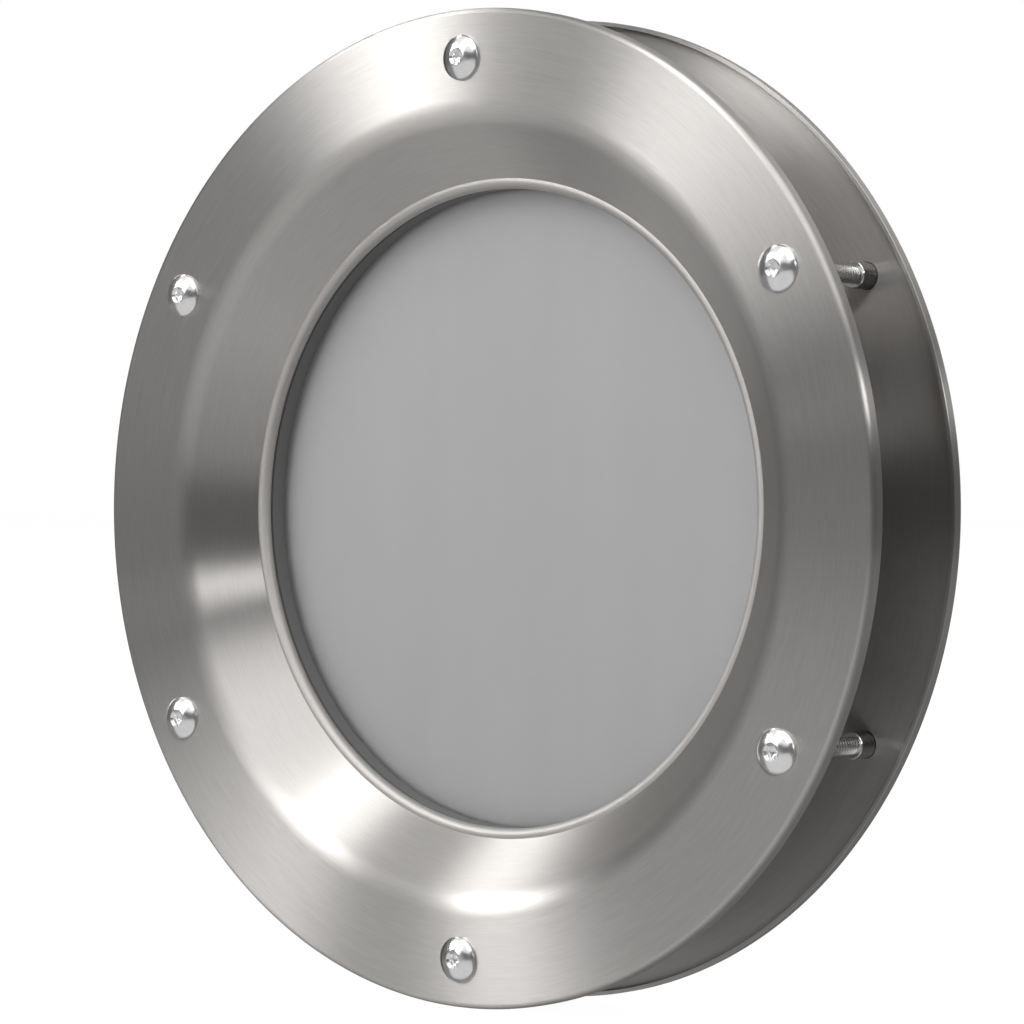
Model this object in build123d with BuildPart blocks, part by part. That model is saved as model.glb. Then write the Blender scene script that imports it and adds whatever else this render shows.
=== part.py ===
from build123d import *
import math
import os

# Round porthole window for a door leaf, in millimetres.
# Two pressed stainless rings clamp the leaf between them and hold the pane in its middle.
# The window's axis is Y, the side with the screws faces -Y and +Z is up.
# The origin lies on the axis, halfway through the door leaf.

# Door leaf
door_thickness = 42.0

# Radii of the rings, from the clear sight opening outwards
sight_r = 113.3
dish_width = 24.7
flange_width = 37.0

# Sheet metal
sheet_thickness = 1.5
rim_depth = 5.0
rim_inner_bend_r = 0.5
mouth_inner_bend_r = 11.5

# Rolled bead on the inner edge of each dish, and where the cone meets it
bead_inner_r = 1.0
bead_start_angle = 63.0
bead_end_angle = 270.0

# Pane, with its front face a little behind the middle of the door leaf
pane_offset = 4.2
pane_thickness = 5.0
pane_cover = 6.7
pane_edge_chamfer = 0.5

# Rubber seals
front_seal_thickness = 5.7
rear_seal_thickness = 2.3
seal_setback = 0.3
seal_edge_wall = 3.0
pane_edge_gap = 0.25

# Screws through the front ring
screw_count = 6
first_screw_angle = 30.0
screw_inset = 17.0
thread_r = 3.0
screw_hole_gap = 0.3
screw_tip_chamfer = 0.8
screw_tip_gap = 0.7

# Sleeve nuts through the rear ring
sleeve_length = 9.5
sleeve_wall = 1.55
sleeve_chamfer = 0.7
sleeve_hole_gap = 0.2
sleeve_floor = 0.5
thread_gap = 0.05

# Domed heads with a hexagon socket, the same on screws and sleeve nuts
head_r = 7.9
head_height = 3.2
head_edge = 0.8
head_bulge = 0.35
crown_land = 0.8
socket_across_flats = 4.0
socket_depth = 2.2

# Radii that follow
dish_mouth_r = sight_r + dish_width
ring_outer_r = dish_mouth_r + flange_width
screw_circle_r = ring_outer_r - screw_inset
bead_r = bead_inner_r + sheet_thickness
pane_r = sight_r + pane_cover
seal_bore_r = sight_r + seal_setback
seal_edge_bore_r = pane_r + pane_edge_gap
seal_outer_r = seal_edge_bore_r + seal_edge_wall
sleeve_bore_r = thread_r + thread_gap
sleeve_r = sleeve_bore_r + sleeve_wall
crown_r = socket_across_flats / math.sqrt(3) + crown_land

# Places along the axis that follow
overall_depth = door_thickness + 2 * rim_depth
front_face_y = -overall_depth / 2
rear_face_y = overall_depth / 2
pane_front_y = pane_offset
pane_rear_y = pane_front_y + pane_thickness
front_dish_depth = pane_front_y - front_seal_thickness - front_face_y
rear_dish_depth = rear_face_y - pane_rear_y - rear_seal_thickness
screw_length = overall_depth - sleeve_floor - screw_tip_gap

os.makedirs("parts", exist_ok=True)


def save(piece, name):
    """Label a finished piece and write its file."""
    piece.part.label = name
    export_step(piece.part, f"parts/{name}.step")


def front_plane(x=0, z=0):
    """Section plane on the front face: x runs outwards from an axis at (x, z), y into the door."""
    return Plane(origin=(x, front_face_y, z), x_dir=(1, 0, 0), z_dir=(0, 0, 1))


def rear_plane(x=0, z=0):
    """The same section plane on the rear face, looking the other way."""
    return Plane(origin=(x, rear_face_y, z), x_dir=(1, 0, 0), z_dir=(0, 0, -1))


def turn(plane):
    """Revolve the pending section about its plane's own y direction."""
    revolve(axis=Axis(plane.origin, plane.y_dir))


def make_ring(plane, dish_depth, hole_r):
    """A pressed ring: turned-back rim, flat flange, conical dish and rolled inner bead.

    The visible side is drawn as one path, then given the sheet's thickness behind it.
    """
    bead_centre = Vector(sight_r + bead_r, dish_depth - bead_r)
    crease = bead_centre + Vector(bead_r, 0).rotate(Axis.Z, -bead_start_angle)
    with BuildPart() as ring:
        with BuildSketch(plane):
            with BuildLine():
                FilletPolyline(
                    (ring_outer_r, rim_depth),
                    (ring_outer_r, 0),
                    (dish_mouth_r, 0),
                    crease,
                    radius=(rim_inner_bend_r + sheet_thickness, mouth_inner_bend_r + sheet_thickness),
                )
                CenterArc(
                    bead_centre,
                    bead_r,
                    start_angle=-bead_start_angle,
                    arc_size=bead_start_angle - bead_end_angle,
                )
                offset(amount=sheet_thickness, side=Side.RIGHT)
            make_face()
        turn(plane)
        with BuildSketch(Plane.XZ):
            with PolarLocations(screw_circle_r, screw_count, start_angle=first_screw_angle):
                Circle(hole_r)
        extrude(amount=overall_depth, both=True, mode=Mode.SUBTRACT)
    return ring


def make_seal(plane, outline):
    """A rubber ring of the given section."""
    with BuildPart() as seal:
        with BuildSketch(plane):
            with BuildLine():
                Polyline(*outline, close=True)
            make_face()
        turn(plane)
    return seal


def make_fastener(plane, stem):
    """A domed head with a hexagon socket, turned together with the stem behind it."""
    with BuildPart() as fastener:
        with BuildSketch(plane):
            with BuildLine():
                dome = SagittaArc((crown_r, -head_height), (head_r, -head_edge), head_bulge)
                Polyline(dome @ 1, (head_r, 0), *stem, (0, -head_height), dome @ 0)
            make_face()
        turn(plane)
        crown = Plane(plane.origin - plane.y_dir * head_height, x_dir=plane.x_dir, z_dir=-plane.y_dir)
        with BuildSketch(crown):
            RegularPolygon(socket_across_flats / 2, side_count=6, major_radius=False)
        extrude(amount=-socket_depth, mode=Mode.SUBTRACT)
    return fastener


# The two rings differ in the depth of the dish and in what passes through their holes
save(make_ring(front_plane(), front_dish_depth, thread_r + screw_hole_gap), "front_ring")
save(make_ring(rear_plane(), rear_dish_depth, sleeve_r + sleeve_hole_gap), "rear_ring")

# The pane is one disc of satin glass with arrised edges
with BuildPart() as glass_pane:
    with BuildSketch(Plane.XZ.offset(-pane_rear_y)):
        Circle(pane_r)
    extrude(amount=pane_thickness)
    chamfer(glass_pane.edges().filter_by(GeomType.CIRCLE), pane_edge_chamfer)
save(glass_pane, "glass_pane")

# The front seal is an L: it spaces the pane from the front bead and wraps the pane's edge
front_seal_step = front_dish_depth + front_seal_thickness
front_seal_outline = [
    (seal_bore_r, front_dish_depth),
    (seal_outer_r, front_dish_depth),
    (seal_outer_r, front_seal_step + pane_thickness),
    (seal_edge_bore_r, front_seal_step + pane_thickness),
    (seal_edge_bore_r, front_seal_step),
    (seal_bore_r, front_seal_step),
]
save(make_seal(front_plane(), front_seal_outline), "front_seal")

# The rear seal is a flat ring between the pane and the rear bead
rear_seal_step = rear_dish_depth + rear_seal_thickness
rear_seal_outline = [
    (seal_bore_r, rear_dish_depth),
    (seal_outer_r, rear_dish_depth),
    (seal_outer_r, rear_seal_step),
    (seal_bore_r, rear_seal_step),
]
save(make_seal(rear_plane(), rear_seal_outline), "rear_seal")

screw_stem = [
    (thread_r, 0),
    (thread_r, screw_length - screw_tip_chamfer),
    (thread_r - screw_tip_chamfer, screw_length),
    (0, screw_length),
]
sleeve_stem = [
    (sleeve_r, 0),
    (sleeve_r, sleeve_length - sleeve_chamfer),
    (sleeve_r - sleeve_chamfer, sleeve_length),
    (sleeve_bore_r, sleeve_length),
    (sleeve_bore_r, sleeve_floor),
    (0, sleeve_floor),
]

# Each screw and the sleeve nut that it runs into share one axis
for number in range(screw_count):
    angle = math.radians(first_screw_angle + number * 360 / screw_count)
    x = screw_circle_r * math.cos(angle)
    z = screw_circle_r * math.sin(angle)
    save(make_fastener(front_plane(x, z), screw_stem), f"screw_{number + 1}")
    save(make_fastener(rear_plane(x, z), sleeve_stem), f"sleeve_nut_{number + 1}")
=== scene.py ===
import math

import bpy
from mathutils import Matrix, Vector


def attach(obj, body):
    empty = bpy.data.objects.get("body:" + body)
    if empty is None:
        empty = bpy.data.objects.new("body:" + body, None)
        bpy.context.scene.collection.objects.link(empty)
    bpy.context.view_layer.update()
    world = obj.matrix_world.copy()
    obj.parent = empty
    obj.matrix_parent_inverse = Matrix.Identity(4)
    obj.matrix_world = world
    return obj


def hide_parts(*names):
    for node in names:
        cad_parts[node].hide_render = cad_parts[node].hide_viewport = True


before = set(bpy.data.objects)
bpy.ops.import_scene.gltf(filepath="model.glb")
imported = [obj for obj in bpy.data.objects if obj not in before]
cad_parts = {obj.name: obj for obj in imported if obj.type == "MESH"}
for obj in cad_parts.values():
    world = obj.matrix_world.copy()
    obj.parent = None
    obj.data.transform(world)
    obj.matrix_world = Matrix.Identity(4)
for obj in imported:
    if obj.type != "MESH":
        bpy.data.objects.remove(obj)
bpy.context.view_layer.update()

# Round porthole window: two pressed rings, a satin pane, rubber seals, screws and sleeve nuts.
# The window's axis is Y, the side with the screws faces -Y and +Z is up.
# Sections are drawn in millimetres, as a radius from an axis and a depth behind a ring's face,
# and become metres as a mesh is made.
MM = 0.001

# Rings
door_thickness = 42.0
rim_depth = 5.0
sight_r = 113.3
dish_width = 24.7
flange_width = 37.0
sheet_thickness = 1.5
rim_bend_r = 2.0
mouth_bend_r = 13.0
front_dish_depth = 24.5
rear_dish_depth = 14.5
bead_r = 2.5
bead_start_angle = 63.0
bead_end_angle = 270.0
edge_chamfer = 0.15

# Screws
screw_count = 6
first_screw_angle = 30.0
screw_inset = 17.0
screw_hole_gap = 0.3
screw_length = 50.8
tip_chamfer = 0.8

# The screws' thread, with its start in millimetres and the half widths of its ridge in pitches
thread_r = 3.0
thread_root_r = 2.1
thread_pitch = 1.5
thread_start = 1.0
thread_foot = 0.36
thread_crest = 0.06
thread_bury = 0.03

# Sleeve nuts
sleeve_bore_r = 3.05
sleeve_wall = 1.55
sleeve_length = 9.5
sleeve_chamfer = 0.3
sleeve_floor = 0.5
sleeve_hole_gap = 0.2

# Domed heads, the same on screws and sleeve nuts
head_r = 7.9
head_height = 3.2
head_edge = 0.8
head_bulge = 0.35
head_round = 0.25
head_round_bulge = 0.05
crown_r = 3.11

# Hexagon socket with a countersunk rim, and a drill point in its floor. The two shares are of the
# hexagon's radius: where the drill point begins, and where it has a loop part of the way down.
socket_apothem = 2.0
socket_depth = 2.2
socket_rim_r = 3.0
socket_rim_depth = 0.7
drill_edge_share = 0.9
drill_loop_share = 0.4
drill_loop_depth = 0.36
drill_point_depth = 0.6

# Sizes that follow
overall_depth = door_thickness + 2 * rim_depth
dish_mouth_r = sight_r + dish_width
ring_outer_r = dish_mouth_r + flange_width
bead_centre_r = sight_r + bead_r
screw_circle_r = ring_outer_r - screw_inset
screw_hole_r = thread_r + screw_hole_gap
sleeve_r = sleeve_bore_r + sleeve_wall
sleeve_hole_r = sleeve_r + sleeve_hole_gap

# How finely round things are divided
ring_segments = 360
rim_bend_steps = 12
mouth_bend_steps = 14
bead_steps = 30
head_segments = 48
dome_steps = 12
thread_segments = 24
sharp_angle = 30.0

# Extra loops close to the bends keep the flange and the cone flat between them. The cone's loops
# are shares of the way from its mouth to its bead.
bend_margin = 0.4
cone_shares = (0.03, 0.35, 0.7, 0.97, 1)

# Each screw hole takes the place of a block of the flange's grid, which reaches hole_block inwards
# and outwards from the screw circle. It has as many columns as rows, and a column is one degree.
hole_block = 9.0
hole_rows = 12
hole_half = hole_rows // 2
hole_top_r = screw_circle_r + hole_block
same_row_gap = 1e-6
same_place_digits = 7

# Camera: its place and reach in metres, which way it looks and how it is tilted in degrees, and its
# lens in millimetres
camera_place = (0.8517, -1.0136, 0.0033)
camera_azimuth = 39.974
camera_elevation = 0.1955
camera_roll = 0.202
camera_lens = 130.87
camera_reach = 200

# Soft boxes round the object: name, azimuth from +X seen from above, elevation, width, height, tilt
# and radiance, with every angle in degrees
box_distance = 10.0
soft_boxes = [
    ("window_left", 218, 25, 10, 20, 25, 9),
    ("window_strip", 250, 35, 15, 50, -10, 3),
    ("sky_in_front", 255, 45, 80, 50, 0, 0.7),
    ("sky_over_camera", 320, 55, 60, 50, 0, 1),
    ("bar_right", 340, 20, 40, 8, 0, 4),
    ("bar_left", 180, 50, 20, 10, 0, 2),
    ("horizon_bar", 240, 0, 60, 5, 0, 0.3),
    ("floor_card", 260, -35, 90, 60, 0, 0.4),
    ("rear_window", 100, 15, 10, 20, 0, 2.5),
    ("rear_card", 90, 5, 50, 40, 0, 0.4),
    ("rear_sky", 95, 50, 75, 35, 0, 0.4),
]

# The dim room that surfaces reflect: its walls, its paler floor, and how far below the horizon,
# as a direction's Z, one turns into the other
wall_glow = 0.12
floor_glow = 0.10
wall_foot = -0.08
floor_edge = -0.16

# The floor that the camera sees
floor_size = 60
floor_brightness = 0.98

# Materials. The brushed steel's green and blue are shares of its red.
white = (1, 1, 1, 1)
steel_green = 0.97
steel_blue = 0.94
bump_distance = 0.1 * MM


def arc(centre, radius, start, end, steps):
    """Points along an arc in a section and the direction out of each, angles in degrees."""
    points = []
    for step in range(steps + 1):
        angle = math.radians(start + (end - start) * step / steps)
        out = Vector((math.cos(angle), math.sin(angle)))
        points.append((Vector(centre) + radius * out, out))
    return points


def around(segments):
    """The angles of a full turn in equal steps."""
    return [2 * math.pi * column / segments for column in range(segments)]


def place(radius, depth, angle, facing):
    """A point of a turned piece in metres. Facing is -1 for the screw side and 1 for the rear."""
    y = facing * (overall_depth / 2 - depth)
    return Vector((radius * math.cos(angle), y, radius * math.sin(angle))) * MM


def bands(one, other):
    """Faces between two closed loops of the same number of points."""
    count = len(one)
    return [[one[i], one[(i + 1) % count], other[(i + 1) % count], other[i]] for i in range(count)]


def build(name, vertices, faces, material_of):
    """A mesh object with faces turned outwards and only its real corners sharp."""
    mesh = bpy.data.meshes.new(name)
    mesh.from_pydata(vertices, [], faces)
    mesh.polygons.foreach_set("material_index", material_of)
    mesh.validate()
    piece = bpy.data.objects.new(name, mesh)
    bpy.context.scene.collection.objects.link(piece)
    bpy.context.view_layer.objects.active = piece
    bpy.ops.object.mode_set(mode="EDIT")
    bpy.ops.mesh.select_all(action="SELECT")
    bpy.ops.mesh.normals_make_consistent(inside=False)
    bpy.ops.object.mode_set(mode="OBJECT")
    mesh.shade_smooth()
    mesh.set_sharp_from_angle(angle=math.radians(sharp_angle))
    return piece


def ring_path(dish_depth):
    """The visible side of a pressed ring from its rim to the end of its bead.

    Each point comes with the direction out of the metal.
    """
    bead_centre = Vector((bead_centre_r, dish_depth - bead_r))
    start = math.radians(-bead_start_angle)
    crease = bead_centre + bead_r * Vector((math.cos(start), math.sin(start)))
    slope = math.atan2(crease.y, dish_mouth_r - crease.x)
    mouth_centre_r = dish_mouth_r + mouth_bend_r * math.tan(slope / 2)
    cone_out = Vector((-math.sin(slope), -math.cos(slope)))
    flange_out = Vector((0, -1))

    path = [(Vector((ring_outer_r, rim_depth)), Vector((1, 0)))]
    path += arc((ring_outer_r - rim_bend_r, rim_bend_r), rim_bend_r, 0, -90, rim_bend_steps)
    flange = [ring_outer_r - rim_bend_r - bend_margin]
    flange += [hole_top_r - 2 * hole_block * row / hole_rows for row in range(hole_rows + 1)]
    flange += [mouth_centre_r + bend_margin]
    path += [(Vector((radius, 0)), flange_out) for radius in flange]
    mouth_end_angle = -90 - math.degrees(slope)
    mouth = arc((mouth_centre_r, mouth_bend_r), mouth_bend_r, -90, mouth_end_angle, mouth_bend_steps)
    path += mouth
    path += [(mouth[-1][0].lerp(crease, share), cone_out) for share in cone_shares]
    path += arc(bead_centre, bead_r, -bead_start_angle, -bead_end_angle, bead_steps)
    return path


def ring_section(dish_depth):
    """The closed section of a pressed ring, and how many of its points are on the visible side."""
    path = ring_path(dish_depth)
    visible = [point for point, out in path]
    hidden = [point - sheet_thickness * out for point, out in reversed(path)]
    for side, other in ((visible, hidden), (hidden, visible)):
        along = (side[-1] - side[-2]).normalized()
        across = (other[0] - side[-1]).normalized()
        corner = side.pop()
        side += [corner - edge_chamfer * along, corner + edge_chamfer * across]
        along = (other[1] - other[0]).normalized()
        corner = other.pop(0)
        other[:0] = [corner - edge_chamfer * across, corner + edge_chamfer * along]
    return visible + hidden, len(visible)


def slot_of(row, visible_count):
    """The material slot of a row of a ring's faces: 1 on the bead and 0 everywhere else."""
    bead_start = visible_count - bead_steps - 2
    return 1 if bead_start <= row < visible_count - 1 else 0


def around_block(top, middle):
    """The grid's corners round the block of one screw hole, as (row, column) pairs in order."""
    bottom = top + hole_rows
    left = middle - hole_half
    right = middle + hole_half
    corners = [(top, column) for column in range(left, right)]
    corners += [(row, right) for row in range(top, bottom)]
    corners += [(bottom, column) for column in range(right, left, -1)]
    corners += [(row, left) for row in range(bottom, top, -1)]
    return corners


def opposite(vertices, circle, other):
    """For each point of a hole's circle, the point of the other circle straight behind it."""
    def spot(i):
        return tuple(round(value, same_place_digits) for value in vertices[i].xz)

    others = {spot(i): i for i in other}
    return [others[spot(i)] for i in circle]


def ring(name, dish_depth, hole_r, facing):
    """A pressed ring with a hole for each screw."""
    section, visible_count = ring_section(dish_depth)
    rows = len(section)
    turn = around(ring_segments)
    vertices = [place(point.x, point.y, angle, facing) for point in section for angle in turn]

    def index(row, column):
        return row % rows * ring_segments + column % ring_segments

    # The blocks' first rows: one on the visible side, and one on the hidden side, which runs outwards
    starts = [row for row, point in enumerate(section) if abs(point.x - hole_top_r) < same_row_gap]
    blocks = [starts[0], starts[1] - hole_rows]
    middles = [round(first_screw_angle + 360 * number / screw_count) for number in range(screw_count)]
    open_cells = {
        (row, column % ring_segments)
        for block in blocks
        for row in range(block, block + hole_rows)
        for middle in middles
        for column in range(middle - hole_half, middle + hole_half)
    }
    faces = []
    materials = []
    for row in range(rows):
        for column in range(ring_segments):
            if (row, column) in open_cells:
                continue
            corners = [(row, column), (row, column + 1), (row + 1, column + 1), (row + 1, column)]
            faces.append([index(*corner) for corner in corners])
            materials.append(slot_of(row, visible_count))

    for middle in middles:
        circles = []
        for block in blocks:
            outline = [index(*corner) for corner in around_block(block, middle)]
            centre = place(screw_circle_r, section[block].y, math.radians(middle), facing)
            circle = []
            for corner in outline:
                circle.append(len(vertices))
                vertices.append(centre + (vertices[corner] - centre).normalized() * hole_r * MM)
            faces += bands(outline, circle)
            circles.append(circle)
        faces += bands(circles[0], opposite(vertices, circles[0], circles[1]))
    materials += [0] * (len(faces) - len(materials))
    return build(name, vertices, faces, materials)


def hexagon_r(angle):
    """Radius of the socket's hexagon at an angle."""
    return socket_apothem / math.cos(angle % (math.pi / 3) - math.pi / 6)


def head_section():
    """The points of the head outside its socket, from the crown to the seat."""
    crown = Vector((crown_r, -head_height))
    shoulder = Vector((head_r, -head_edge))
    chord = shoulder - crown
    dome_r = (chord.length**2 / 4 + head_bulge**2) / (2 * head_bulge)
    out = Vector((chord.y, -chord.x)).normalized()
    centre = crown.lerp(shoulder, 0.5) - out * (dome_r - head_bulge)
    start = math.atan2(crown.y - centre.y, crown.x - centre.x)
    end = math.atan2(shoulder.y - centre.y, shoulder.x - centre.x) - head_round / dome_r
    dome = [point for point, away in arc(centre, dome_r, math.degrees(start), math.degrees(end), dome_steps)]
    side = [Vector((head_r, -head_edge + head_round)), Vector((head_r, -edge_chamfer))]
    rounding = (dome[-1] + side[0]) / 2 + Vector((head_round_bulge, -head_round_bulge))
    seat = Vector((head_r - edge_chamfer, 0))
    return dome + [rounding] + side + [seat]


def fastener(name, x, z, facing, stem):
    """A domed head with a hexagon socket and the stem behind it, turned about an axis at (x, z).

    The first band of the stem is in the second material slot. The screw side gets a thread.
    """
    vertices = []
    faces = []
    turn = around(head_segments)

    def loop(radius_at, depth):
        first = len(vertices)
        for angle in turn:
            vertices.append(place(radius_at(angle), depth, angle, facing))
        return list(range(first, len(vertices)))

    top = -head_height
    socket_floor = top + socket_depth
    loops = [
        loop(lambda angle: hexagon_r(angle) * drill_loop_share, socket_floor + drill_loop_depth),
        loop(lambda angle: hexagon_r(angle) * drill_edge_share, socket_floor),
        loop(hexagon_r, socket_floor),
        loop(hexagon_r, top + socket_rim_depth),
        loop(lambda angle: socket_rim_r, top),
    ]
    for point in head_section() + stem:
        loops.append(loop(lambda angle: point.x, point.y))
    for one, other in zip(loops, loops[1:]):
        faces += bands(one, other)
    stem_start = (len(loops) - len(stem)) * head_segments
    for end, depth in ((loops[0], socket_floor + drill_point_depth), (loops[-1], stem[-1].y)):
        vertices.append(place(0, depth, 0, facing))
        tip = len(vertices) - 1
        faces += [[end[i], end[(i + 1) % head_segments], tip] for i in range(head_segments)]
    if facing < 0:
        add_thread(vertices, faces, facing)
    shift = Vector((x, 0, z)) * MM
    vertices = [vertex + shift for vertex in vertices]
    materials = [0] * len(faces)
    materials[stem_start:stem_start + head_segments] = [1] * head_segments
    return build(name, vertices, faces, materials)


def add_thread(vertices, faces, facing):
    """A helical ridge on the screw's core, with its foot inside the core, that runs out at both ends."""
    turns = int((screw_length - tip_chamfer - thread_start) / thread_pitch) - 1
    steps = turns * thread_segments
    profile = [(-thread_foot, 0), (-thread_crest, 1), (thread_crest, 1), (thread_foot, 0)]
    ridge = thread_r - thread_root_r + thread_bury
    first = len(vertices)
    for step in range(steps + 1):
        run_out = min(1, step / thread_segments, (steps - step) / thread_segments)
        angle = 2 * math.pi * step / thread_segments
        for offset, share in profile:
            radius = thread_root_r - thread_bury + ridge * share * run_out
            depth = thread_start + thread_pitch * (step / thread_segments + offset)
            vertices.append(place(radius, depth, angle, facing))
    for step in range(steps):
        for strand in range(len(profile) - 1):
            corner = first + step * len(profile) + strand
            faces.append([corner, corner + 1, corner + len(profile) + 1, corner + len(profile)])


def feed(tree, target, inputs):
    """Sets a node's inputs, and links those that are given as sockets."""
    for key, value in inputs.items():
        if isinstance(value, bpy.types.NodeSocket):
            tree.links.new(value, target.inputs[key])
        else:
            target.inputs[key].default_value = value


def node(tree, kind, inputs=None, **settings):
    """A shader node with its settings and its inputs."""
    made = tree.nodes.new(kind)
    for key, value in settings.items():
        setattr(made, key, value)
    feed(tree, made, inputs or {})
    return made


def math_node(tree, operation, one, other):
    """One step of arithmetic on sockets or numbers."""
    return node(tree, "ShaderNodeMath", {0: one, 1: other}, operation=operation).outputs[0]


def new_material(name):
    """An empty material, its tree and its shader."""
    material = bpy.data.materials.new(name)
    material.use_nodes = True
    shader = material.node_tree.nodes["Principled BSDF"]
    return material, material.node_tree, shader


def object_place(tree):
    """Where a point of the surface is, in metres."""
    return node(tree, "ShaderNodeTexCoord").outputs["Object"]


def scaled(tree, where, factors):
    """A place with each axis scaled. Noise at it is drawn out along the axes that are scaled least."""
    return node(tree, "ShaderNodeVectorMath", {0: where, 1: factors}, operation="MULTIPLY").outputs[0]


def noise(tree, where, scale, detail):
    """Noise from 0 to 1 at a place."""
    inputs = {"Vector": where, "Scale": scale, "Detail": detail}
    return node(tree, "ShaderNodeTexNoise", inputs).outputs["Fac"]


def grooves(tree, across, along):
    """Noise drawn out round the window's axis, as a brush turned against the metal leaves it.

    Across and along are how fast it changes across the brushing and along it.
    """
    x, y, z = node(tree, "ShaderNodeSeparateXYZ", {0: object_place(tree)}).outputs
    flat = node(tree, "ShaderNodeCombineXYZ", {"X": x, "Y": z}).outputs[0]
    radius = node(tree, "ShaderNodeVectorMath", {0: flat}, operation="LENGTH").outputs["Value"]
    turned = node(tree, "ShaderNodeCombineXYZ", {
        "X": math_node(tree, "MULTIPLY", math_node(tree, "DIVIDE", x, radius), along),
        "Y": math_node(tree, "MULTIPLY", math_node(tree, "DIVIDE", z, radius), along),
        "Z": math_node(tree, "MULTIPLY", math_node(tree, "SUBTRACT", radius, y), across),
    })
    return noise(tree, turned.outputs[0], scale=1.0, detail=3.0)


def spread(tree, value, low, high):
    """The value from 0 to 1 spread between low and high."""
    return node(tree, "ShaderNodeMapRange", {"Value": value, "To Min": low, "To Max": high}).outputs[0]


def grey(tree, tone):
    """A colour with the same tone in each channel."""
    return node(tree, "ShaderNodeCombineColor", {"Red": tone, "Green": tone, "Blue": tone}).outputs[0]


def warm_grey(tree, tone):
    """The slightly warm grey of stainless steel."""
    green = math_node(tree, "MULTIPLY", tone, steel_green)
    blue = math_node(tree, "MULTIPLY", tone, steel_blue)
    return node(tree, "ShaderNodeCombineColor", {"Red": tone, "Green": green, "Blue": blue}).outputs[0]


def bump(tree, height, strength):
    """A normal that follows a fine relief."""
    inputs = {"Strength": strength, "Distance": bump_distance, "Height": height}
    return node(tree, "ShaderNodeBump", inputs).outputs[0]


def brushed_steel():
    """Stainless steel brushed round the axis, so light fans out across the grooves."""
    material, tree, shader = new_material("brushed_steel")
    fine = grooves(tree, across=2600.0, along=14.0)
    broad = grooves(tree, across=500.0, along=5.0)
    fine_share = 0.75
    fine_part = math_node(tree, "MULTIPLY", fine, fine_share)
    broad_part = math_node(tree, "MULTIPLY", broad, 1 - fine_share)
    mixed = math_node(tree, "ADD", fine_part, broad_part)
    feed(tree, shader, {
        "Base Color": warm_grey(tree, spread(tree, mixed, low=0.50, high=0.70)),
        "Roughness": spread(tree, mixed, low=0.28, high=0.39),
        "Normal": bump(tree, fine, strength=0.06),
        "Tangent": node(tree, "ShaderNodeTangent", direction_type="RADIAL", axis="Y").outputs[0],
        "Metallic": 1.0,
        "Anisotropic": 1.0,
        "Anisotropic Rotation": 0.25,
        "Specular Tint": (0.4, 0.4, 0.4, 1),
    })
    return material


def satin_steel():
    """The rolled bead, burnished across its grooves and so matt in every direction."""
    material, tree, shader = new_material("satin_steel")
    fine = grooves(tree, across=2600.0, along=14.0)
    feed(tree, shader, {
        "Base Color": warm_grey(tree, spread(tree, fine, low=0.54, high=0.66)),
        "Roughness": spread(tree, fine, low=0.5, high=0.62),
        "Metallic": 1.0,
    })
    return material


def polished_steel():
    """Bright polished steel with faint wear."""
    material, tree, shader = new_material("polished_steel")
    wear = noise(tree, object_place(tree), scale=500.0, detail=5.0)
    feed(tree, shader, {
        "Base Color": grey(tree, spread(tree, wear, low=0.82, high=0.98)),
        "Roughness": spread(tree, wear, low=0.14, high=0.26),
        "Metallic": 1.0,
    })
    return material


def tube_steel():
    """The sleeve nut's tube as it is turned, duller than its head."""
    material, tree, shader = new_material("tube_steel")
    drawn = scaled(tree, object_place(tree), factors=(300.0, 5000.0, 300.0))
    marks = noise(tree, drawn, scale=1.0, detail=2.0)
    feed(tree, shader, {
        "Base Color": grey(tree, spread(tree, marks, low=0.28, high=0.36)),
        "Roughness": spread(tree, marks, low=0.22, high=0.32),
        "Metallic": 1.0,
    })
    return material


def satin_glass():
    """Grey satin glass: matt all through, with a weak gloss and cloudy, and with a painted reflection that
    makes its tone paler towards the top.
    """
    material, tree, shader = new_material("satin_glass")
    where = object_place(tree)
    drawn = scaled(tree, where, factors=(40.0, 40.0, 5.0))
    cloud = spread(tree, noise(tree, drawn, scale=1.0, detail=2.0), low=0.35, high=0.40)
    # Painted reflection: the glass's tone rises with height, so the pane is painted paler towards the top.
    painted_reflection_per_metre = 0.5
    height = node(tree, "ShaderNodeSeparateXYZ", {0: where}).outputs["Z"]
    tone = math_node(tree, "ADD", cloud, math_node(tree, "MULTIPLY", height, painted_reflection_per_metre))
    frost = noise(tree, where, scale=3000.0, detail=2.0)
    feed(tree, shader, {
        "Base Color": grey(tree, tone),
        "Roughness": spread(tree, frost, low=0.38, high=0.48),
        "Normal": bump(tree, frost, strength=0.03),
        "IOR": 1.5,
        "Subsurface Weight": 1.0,
        "Subsurface Radius": (1.0, 1.0, 1.0),
        "Subsurface Scale": 0.06,
    })
    return material


def seal_rubber():
    """Dark rubber with a fine moulded grain."""
    material, tree, shader = new_material("seal_rubber")
    grain = noise(tree, object_place(tree), scale=1800.0, detail=3.0)
    feed(tree, shader, {
        "Base Color": grey(tree, spread(tree, grain, low=0.16, high=0.22)),
        "Roughness": spread(tree, grain, low=0.45, high=0.6),
        "Normal": bump(tree, grain, strength=0.15),
    })
    return material


def dress(piece, materials, slot, *nodes):
    """Gives a piece its materials and its place in the frame, and lets it stand for its nodes."""
    for material in materials:
        piece.data.materials.append(material)
    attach(piece, "root")
    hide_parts(*nodes)


def repaint(name, material):
    """Gives a node of the frame a better material."""
    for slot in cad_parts[name].material_slots:
        slot.material = material


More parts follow.
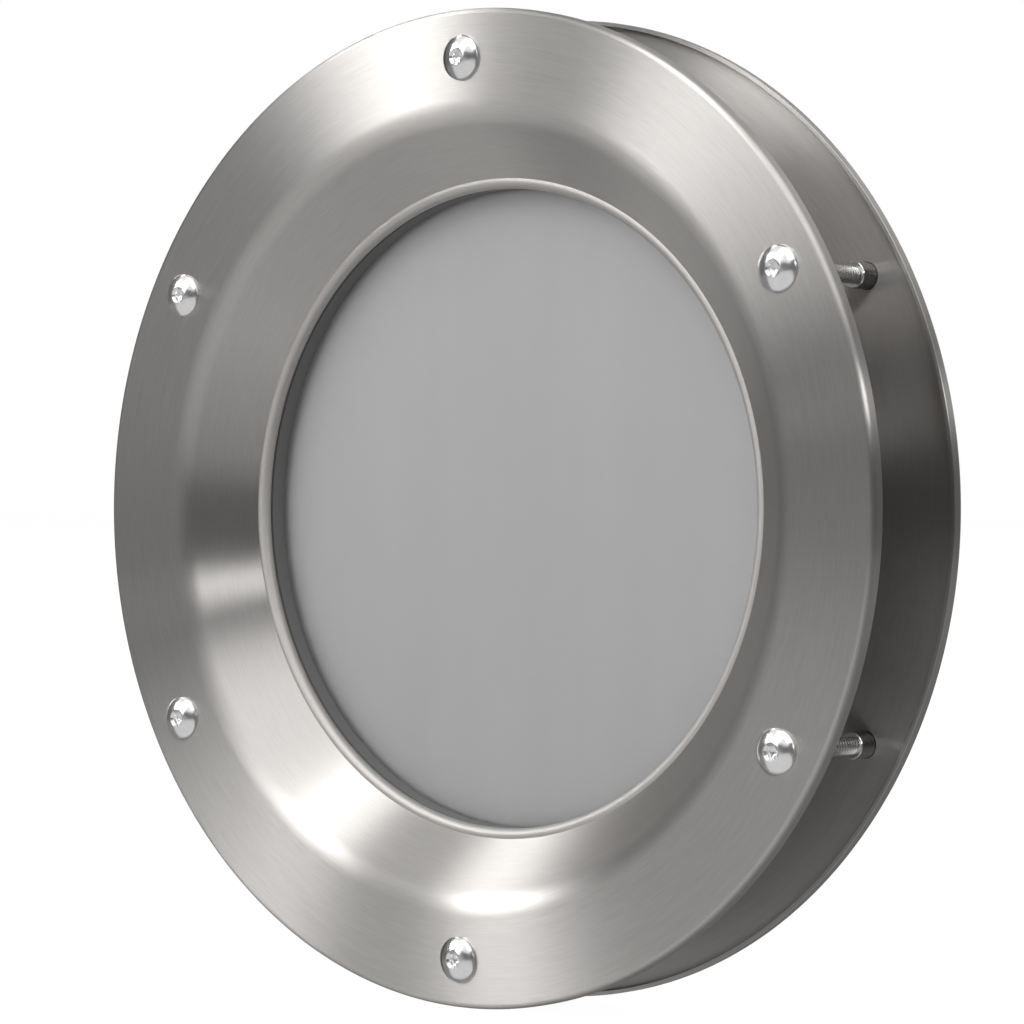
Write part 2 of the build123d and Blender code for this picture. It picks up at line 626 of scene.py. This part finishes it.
def add_soft_box(name, azimuth, elevation, width, height, tilt, radiance):
    """A rectangular soft box that faces the object and takes up the given angles as seen from it."""
    lamp = bpy.data.lights.new(name, "AREA")
    lamp.shape = "RECTANGLE"
    lamp.size = 2 * box_distance * math.tan(math.radians(width / 2))
    lamp.size_y = 2 * box_distance * math.tan(math.radians(height / 2))
    lamp.energy = radiance * math.pi * lamp.size * lamp.size_y
    holder = bpy.data.objects.new(name, lamp)
    bpy.context.scene.collection.objects.link(holder)
    holder.visible_camera = False
    turn = math.radians(azimuth)
    rise = math.radians(elevation)
    towards = Vector((math.cos(rise) * math.cos(turn), math.cos(rise) * math.sin(turn), math.sin(rise)))
    side = Vector((-math.sin(turn), math.cos(turn), 0))
    axes = Matrix((side, towards.cross(side), towards)).transposed().to_4x4()
    roll = Matrix.Rotation(math.radians(tilt), 4, "Z")
    holder.matrix_world = Matrix.Translation(towards * box_distance) @ axes @ roll


def make_world():
    """White behind the object, and a dim room with a paler floor for everything else to reflect."""
    world = bpy.data.worlds.new("studio")
    bpy.context.scene.world = world
    world.use_nodes = True
    tree = world.node_tree
    seen = tree.nodes["Background"]
    seen.inputs["Color"].default_value = white
    direction = node(tree, "ShaderNodeTexCoord").outputs["Generated"]
    height = node(tree, "ShaderNodeSeparateXYZ", {0: direction}).outputs["Z"]
    glow = node(tree, "ShaderNodeMapRange", {
        "Value": height,
        "From Min": floor_edge,
        "From Max": wall_foot,
        "To Min": wall_glow + floor_glow,
        "To Max": wall_glow,
    })
    room = node(tree, "ShaderNodeBackground", {"Color": white, "Strength": glow.outputs[0]})
    path = node(tree, "ShaderNodeLightPath")
    mix = node(tree, "ShaderNodeMixShader", {
        "Fac": path.outputs["Is Camera Ray"],
        1: room.outputs[0],
        2: seen.outputs[0],
    })
    tree.links.new(mix.outputs[0], tree.nodes["World Output"].inputs["Surface"])


def make_floor():
    """A plain white floor under the lowest point of the rims, which only the camera sees."""
    bpy.ops.mesh.primitive_plane_add(size=floor_size, location=(0, 0, -ring_outer_r * MM))
    floor = bpy.context.object
    floor.name = "floor"
    material, tree, shader = new_material("white_floor")
    feed(tree, shader, {
        "Base Color": (0.1, 0.1, 0.1, 1),
        "Roughness": 1.0,
        "Specular IOR Level": 0.0,
        "Emission Color": white,
        "Emission Strength": floor_brightness,
    })
    floor.data.materials.append(material)
    floor.visible_glossy = False
    floor.visible_diffuse = False
    floor.visible_shadow = False


def make_camera():
    """The camera at the photograph's viewing angle."""
    camera = bpy.data.objects.new("camera", bpy.data.cameras.new("camera"))
    bpy.context.scene.collection.objects.link(camera)
    camera.data.lens = camera_lens
    camera.data.clip_end = camera_reach
    turn = Matrix.Rotation(math.radians(camera_azimuth), 4, "Z")
    tilt = Matrix.Rotation(math.radians(90 - camera_elevation), 4, "X")
    roll = Matrix.Rotation(math.radians(camera_roll), 4, "Z")
    camera.matrix_world = Matrix.Translation(camera_place) @ turn @ tilt @ roll
    bpy.context.scene.camera = camera


bpy.context.scene.view_settings.view_transform = "Standard"
make_camera()
make_world()
make_floor()
for soft_box in soft_boxes:
    add_soft_box(*soft_box)

steel = brushed_steel()
satin = satin_steel()
polish = polished_steel()
tube = tube_steel()
glass = satin_glass()
rubber = seal_rubber()

front = ring("front_pressing", front_dish_depth, screw_hole_r, -1)
dress(front, [steel, satin], "ring_steel", "front_ring")
rear = ring("rear_pressing", rear_dish_depth, sleeve_hole_r, 1)
dress(rear, [steel, satin], "ring_steel", "rear_ring")

screw_stem = [
    Vector((thread_root_r, 0)),
    Vector((thread_root_r, screw_length - tip_chamfer)),
    Vector((thread_root_r - tip_chamfer, screw_length)),
]
sleeve_stem = [
    Vector((sleeve_r, 0)),
    Vector((sleeve_r, sleeve_length - sleeve_chamfer)),
    Vector((sleeve_r - sleeve_chamfer, sleeve_length)),
    Vector((sleeve_bore_r, sleeve_length)),
    Vector((sleeve_bore_r, sleeve_floor)),
]
for number in range(screw_count):
    angle = math.radians(first_screw_angle + 360 * number / screw_count)
    x = screw_circle_r * math.cos(angle)
    z = screw_circle_r * math.sin(angle)
    screw = fastener(f"socket_screw_{number + 1}", x, z, -1, screw_stem)
    dress(screw, [polish, polish], "polished_steel", f"screw_{number + 1}")
    sleeve = fastener(f"socket_sleeve_nut_{number + 1}", x, z, 1, sleeve_stem)
    dress(sleeve, [polish, tube], "polished_steel", f"sleeve_nut_{number + 1}")

repaint("glass_pane", glass)
repaint("front_seal", rubber)
repaint("rear_seal", rubber)
